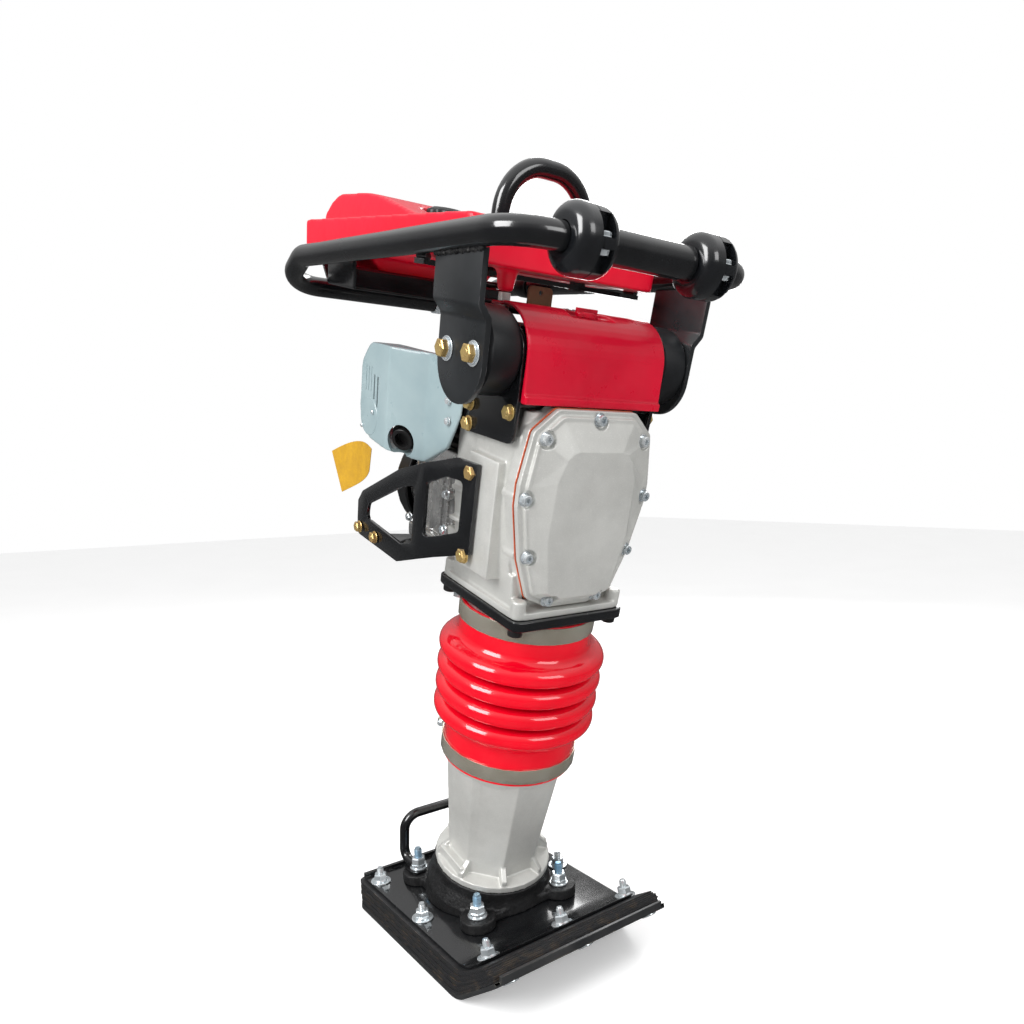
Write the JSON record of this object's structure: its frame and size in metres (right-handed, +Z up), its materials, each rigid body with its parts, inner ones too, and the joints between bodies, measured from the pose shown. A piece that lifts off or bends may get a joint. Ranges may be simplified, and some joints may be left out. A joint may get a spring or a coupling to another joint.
{
  "type": "jumping jack rammer",
  "caption": "Upright petrol soil rammer with a toe-up shoe, red bellows, silver gearcase, rear engine, loop handle with rollers and red tank",
  "frame": {"origin": "on the ground under the shoe, on the plane of symmetry of the shoe and body, at the rear third of the sole's flat", "axes": "+Z up; -Y forward to the toe, the gearcase cover and the rollers; X across; the body axis leans 15.3 degrees forward about X"},
  "size_m": [0.3405, 0.5915, 1.0175],
  "materials": {
    "sole_steel": "worn bare steel",
    "laminated_wood": "black-stained laminated layers",
    "black_paint": "semi-gloss black powder coat",
    "black_casting": "rough black-painted casting",
    "cast_aluminium": "bead-blasted silver casting",
    "black_fins": "cast fins, black heat-proof paint",
    "steel": "machined, oiled",
    "spring_steel": "coiled spring steel",
    "stainless": "polished stainless strip",
    "red_polyurethane": "glossy red moulded bellows",
    "red_plastic": "moulded red",
    "black_rubber": "matt rubber",
    "black_plastic": "moulded black",
    "roller_plastic": "smooth black",
    "blue_grey_plastic": "pale blue-grey",
    "gasket": "orange-red gasket",
    "paper": "pleated filter paper",
    "yellow_card": "plain yellow card",
    "black_cable": "cable sheath"
  },
  "bodies": {
    "foot": {"sole_plate": "sole_steel", "shoe_block": "laminated_wood", "shoe_top_plate": "black_paint", "foot_casting": "black_casting", "foot_handle": "black_paint", "foot_cylinder": "cast_aluminium", "spring_cylinder": "steel", "lower_spring": "spring_steel", "upper_spring": "spring_steel", "lower_clamp": "stainless", "bellows": "red_polyurethane"},
    "machine": {"upper_clamp": "stainless", "guide_cylinder": "steel", "flange_plate": "black_paint", "crankcase": "cast_aluminium", "cover_gasket": "gasket", "gearcase_cover": "cast_aluminium", "main_bearing": "steel", "piston_rod": "steel", "clutch_housing": "cast_aluminium", "engine_block": "cast_aluminium", "cylinder_fins": "black_fins", "rocker_cover": "cast_aluminium", "spark_plug": "black_rubber", "muffler": "black_paint", "muffler_cover": "blue_grey_plastic", "carburettor": "cast_aluminium", "intake_elbow": "black_rubber", "recoil_housing": "black_plastic", "engine_guard": "black_paint", "mount_frame": "black_paint", "rubber_mount_left": "black_rubber", "rubber_mount_right": "black_rubber", "air_housing": "black_plastic", "filter_element": "paper", "filter_cover": "red_plastic", "yellow_tag": "yellow_card"},
    "crank": {"crank_gear": "steel"},
    "rod": {"connecting_rod": "steel"},
    "pinion": {"pinion_drum": "steel"},
    "engine_rotor": {"engine_shaft": "steel"},
    "pull": {"pull_handle": "black_plastic"},
    "latch": {"cover_latch": "red_plastic"},
    "handle": {"bracket_left": "black_paint", "bracket_right": "black_paint", "handle_loop": "black_paint", "lifting_arch": "black_paint", "roller_sleeve": "black_paint", "fuel_tank": "red_plastic", "tank_tray": "black_paint", "throttle_clamp": "black_plastic", "throttle_cable": "black_cable"},
    "roller_l": {"roller_left": "roller_plastic"},
    "roller_r": {"roller_right": "roller_plastic"},
    "cap": {"filler_cap": "black_plastic"},
    "tap": {"fuel_tap": "cast_aluminium"},
    "lever": {"throttle_lever": "black_plastic"}
  },
  "joints": [
    {"name": "jump_stroke", "type": "slide", "parent": "foot", "child": "machine", "axis": [0, -0.2645, 0.9644], "range_m": [-0.02, 0.025], "stiffness_N_per_m": 60000, "springref_m": 0.00724, "deforming": ["bellows", "lower_spring", "upper_spring"]},
    {"name": "crank_turn", "type": "hinge", "parent": "machine", "child": "crank", "pos_m": [0, -0.23669, 0.66158], "axis": [0, 0.9644, 0.2645], "continuous": true},
    {"name": "rod_turn", "type": "hinge", "parent": "crank", "child": "rod", "pos_m": [0, -0.23299, 0.64808], "axis": [0, 0.9644, 0.2645], "continuous": true},
    {"name": "pinion_turn", "type": "hinge", "parent": "machine", "child": "pinion", "pos_m": [0, -0.21804, 0.59359], "axis": [0, 0.9644, 0.2645], "continuous": true},
    {"name": "engine_turn", "type": "hinge", "parent": "machine", "child": "engine_rotor", "pos_m": [0, -0.21804, 0.59359], "axis": [0, 0.9644, 0.2645], "continuous": true},
    {"name": "starter_pull", "type": "slide", "parent": "machine", "child": "pull", "axis": [0, 0.9644, 0.2645], "range_m": [0, 0.3], "stiffness_N_per_m": 30, "springref_m": -0.1},
    {"name": "latch_turn", "type": "hinge", "parent": "machine", "child": "latch", "pos_m": [0, -0.31086, 0.81856], "axis": [0, -0.2645, 0.9644], "range_deg": [0, 90]},
    {"name": "handle_rock", "type": "hinge", "parent": "machine", "child": "handle", "pos_m": [0, -0.28519, 0.7779], "axis": [1, 0, 0], "range_deg": [-3, 3], "stiffness_Nm_per_rad": 2500, "springref_deg": 0.6},
    {"name": "roller_left_turn", "type": "hinge", "parent": "handle", "child": "roller_l", "pos_m": [-0.08, -0.39906, 0.85658], "axis": [1, 0, 0], "continuous": true},
    {"name": "roller_right_turn", "type": "hinge", "parent": "handle", "child": "roller_r", "pos_m": [0.08, -0.39906, 0.85658], "axis": [1, 0, 0], "continuous": true},
    {"name": "cap_turn", "type": "hinge", "parent": "handle", "child": "cap", "pos_m": [-0.034, -0.0918, 0.95745], "axis": [0, -0.2645, 0.9644], "range_deg": [0, 90]},
    {"name": "tap_turn", "type": "hinge", "parent": "handle", "child": "tap", "pos_m": [-0.066, -0.25221, 0.83154], "axis": [0, -0.2645, 0.9644], "range_deg": [-90, 0]},
    {"name": "throttle_swing", "type": "hinge", "parent": "handle", "child": "lever", "pos_m": [0.172, -0.00082, 0.93575], "axis": [1, 0, 0], "range_deg": [0, 75]}
  ],
  "couplings": [
    {"joint": "rod_turn", "follows": "crank_turn", "ratio": -1},
    {"joint": "pinion_turn", "follows": "crank_turn", "ratio": -4.2222}
  ]
}
